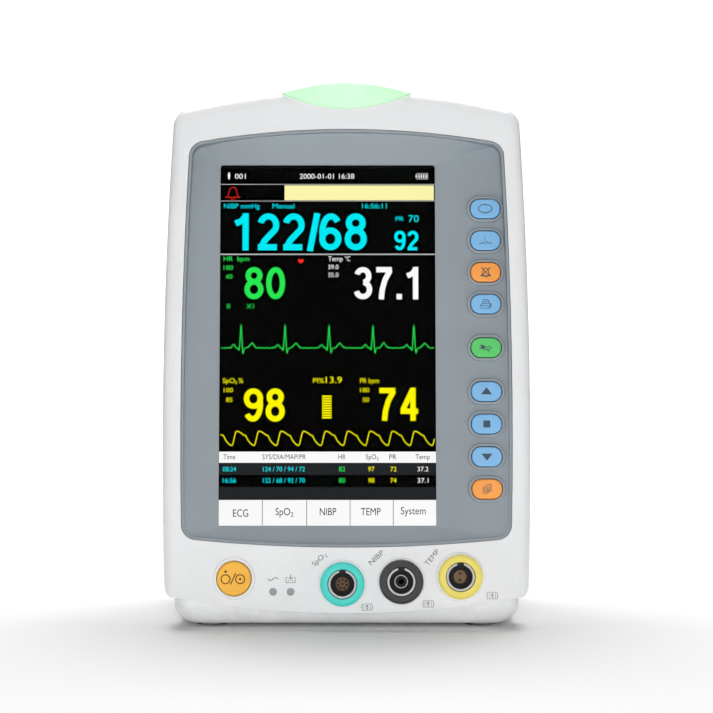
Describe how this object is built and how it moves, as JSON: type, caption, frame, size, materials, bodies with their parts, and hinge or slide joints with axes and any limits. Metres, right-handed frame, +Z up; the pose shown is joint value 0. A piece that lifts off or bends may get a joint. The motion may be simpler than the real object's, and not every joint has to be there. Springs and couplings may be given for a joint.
{
  "type": "patient monitor",
  "caption": "Upright bedside vital-signs monitor with a portrait screen, side keys, round sensor sockets, alarm lamp, carry handle and strip-chart recorder.",
  "frame": {"origin": "middle of the footprint on the table, at the underside of the feet", "axes": "+X to the right of someone facing the screen, +Y from the screen to the back, +Z up"},
  "size_m": [0.1548, 0.117, 0.2292],
  "materials": {
    "white_shell": "satin moulded plastic with a fine grain",
    "white_base": "satin moulded plastic",
    "grey_bezel": "fine-grained grey moulding",
    "window_pane": "clear anti-glare pane",
    "foam": "black foam",
    "display_module": "black display",
    "sheet_steel": "plain sheet",
    "silicone": "moulded silicone",
    "circuit_board": "solder mask",
    "lamp_lens": "translucent pale green",
    "light_pipe": "smoked clear plastic",
    "dark_insert": "dark insulating plastic",
    "nickel": "nickel plate",
    "black_rubber": "matt rubber",
    "soft_grip": "soft grip",
    "battery_wrap": "shrink wrap",
    "black_plastic": "moulded black plastic",
    "contact_metal": "plated contacts",
    "brass_insert": "knurled brass",
    "screw_steel": "zinc plate",
    "plain_aluminium": "mill finish",
    "pump_metal": "drawn can",
    "hose_rubber": "smooth hose",
    "socket_metal": "satin nickel plate",
    "grey_tub": "grey moulding",
    "grey_button": "grey moulding",
    "chart_paper": "thermal paper",
    "blue_key": "soft-touch key",
    "orange_key": "soft-touch key",
    "green_key": "soft-touch key",
    "amber_button": "gloss button",
    "turquoise_collar": "gloss ring",
    "black_collar": "gloss ring",
    "yellow_collar": "gloss ring",
    "green_collar": "gloss ring"
  },
  "bodies": {
    "root": {"spo2_socket_shell": "socket_metal", "nibp_socket_shell": "socket_metal", "temp_socket_shell": "socket_metal", "ecg_socket_shell": "socket_metal", "spo2_collar": "turquoise_collar", "nibp_collar": "black_collar", "temp_collar": "yellow_collar", "ecg_collar": "green_collar", "front_housing": "white_shell", "display_bezel": "grey_bezel", "display_window": "window_pane", "window_gasket": "foam", "lcd_panel": "display_module", "lcd_bracket": "sheet_steel", "keypad_mat": "silicone", "panel_boards": "circuit_board", "alarm_lamp_cover": "lamp_lens", "indicator_light_pipes": "light_pipe", "front_io_board": "circuit_board", "nibp_air_nozzle": "dark_insert", "contact_inserts": "dark_insert", "socket_nuts": "nickel", "base_tray": "white_base", "rubber_feet": "black_rubber", "rear_housing": "white_shell", "back_panel": "white_shell", "carry_handle": "white_shell", "handle_grip": "soft_grip", "battery_door": "white_base", "battery_pack": "battery_wrap", "ac_inlet_body": "black_plastic", "ac_inlet_pins": "contact_metal", "earth_stud": "nickel", "wall_mount_inserts": "brass_insert", "case_screws": "screw_steel", "chassis_plate": "plain_aluminium", "main_board": "circuit_board", "power_supply_board": "circuit_board", "nibp_pump": "pump_metal", "air_hose": "hose_rubber", "network_port": "socket_metal", "speaker": "black_plastic", "recorder_tub": "grey_tub", "recorder_hinge_pin": "screw_steel", "print_head": "black_plastic"},
    "key_cycle": {"key_cycle": "blue_key"},
    "key_wave": {"key_wave": "blue_key"},
    "key_alarm_pause": {"key_alarm_pause": "orange_key"},
    "key_print": {"key_print": "blue_key"},
    "key_cuff_start": {"key_cuff_start": "green_key"},
    "key_up": {"key_up": "blue_key"},
    "key_select": {"key_select": "blue_key"},
    "key_down": {"key_down": "blue_key"},
    "key_pages": {"key_pages": "orange_key"},
    "power_button": {"power_button": "amber_button"},
    "fuse_drawer": {"fuse_drawer": "black_plastic"},
    "recorder_door": {"recorder_door": "white_shell"},
    "recorder_latch": {"recorder_latch": "grey_button"},
    "platen_roller": {"platen_roller": "black_rubber"},
    "paper_roll": {"paper_roll": "chart_paper"}
  },
  "joints": [
    {"name": "key_cycle_press", "type": "slide", "parent": "root", "child": "key_cycle", "axis": [0, 0.9903, -0.1392], "range_m": [0, 0.0012], "stiffness_N_per_m": 320},
    {"name": "key_wave_press", "type": "slide", "parent": "root", "child": "key_wave", "axis": [0, 0.9903, -0.1392], "range_m": [0, 0.0012], "stiffness_N_per_m": 320},
    {"name": "key_alarm_pause_press", "type": "slide", "parent": "root", "child": "key_alarm_pause", "axis": [0, 0.9903, -0.1392], "range_m": [0, 0.0012], "stiffness_N_per_m": 320},
    {"name": "key_print_press", "type": "slide", "parent": "root", "child": "key_print", "axis": [0, 0.9903, -0.1392], "range_m": [0, 0.0012], "stiffness_N_per_m": 320},
    {"name": "key_cuff_start_press", "type": "slide", "parent": "root", "child": "key_cuff_start", "axis": [0, 0.9903, -0.1392], "range_m": [0, 0.0012], "stiffness_N_per_m": 320},
    {"name": "key_up_press", "type": "slide", "parent": "root", "child": "key_up", "axis": [0, 0.9903, -0.1392], "range_m": [0, 0.0012], "stiffness_N_per_m": 320},
    {"name": "key_select_press", "type": "slide", "parent": "root", "child": "key_select", "axis": [0, 0.9903, -0.1392], "range_m": [0, 0.0012], "stiffness_N_per_m": 320},
    {"name": "key_down_press", "type": "slide", "parent": "root", "child": "key_down", "axis": [0, 0.9903, -0.1392], "range_m": [0, 0.0012], "stiffness_N_per_m": 320},
    {"name": "key_pages_press", "type": "slide", "parent": "root", "child": "key_pages", "axis": [0, 0.9903, -0.1392], "range_m": [0, 0.0012], "stiffness_N_per_m": 320},
    {"name": "power_button_press", "type": "slide", "parent": "root", "child": "power_button", "axis": [0, 0.9945, -0.1045], "range_m": [0, 0.0015], "stiffness_N_per_m": 400},
    {"name": "fuse_drawer_slide", "type": "slide", "parent": "root", "child": "fuse_drawer", "axis": [0, 1, 0], "range_m": [0, 0.013]},
    {"name": "recorder_door_hinge", "type": "hinge", "parent": "root", "child": "recorder_door", "pos_m": [0.0689, 0.015, 0.07295], "axis": [0, 1, 0], "range_deg": [0, 90]},
    {"name": "recorder_latch_press", "type": "slide", "parent": "recorder_door", "child": "recorder_latch", "axis": [-1, 0, 0], "range_m": [0, 0.0012], "stiffness_N_per_m": 500},
    {"name": "platen_roller_spin", "type": "hinge", "parent": "recorder_door", "child": "platen_roller", "pos_m": [0.063, 0.015, 0.119], "axis": [0, 1, 0], "continuous": true},
    {"name": "paper_roll_spin", "type": "hinge", "parent": "root", "child": "paper_roll", "pos_m": [0.05, 0.015, 0.092], "axis": [0, 1, 0], "continuous": true}
  ]
}
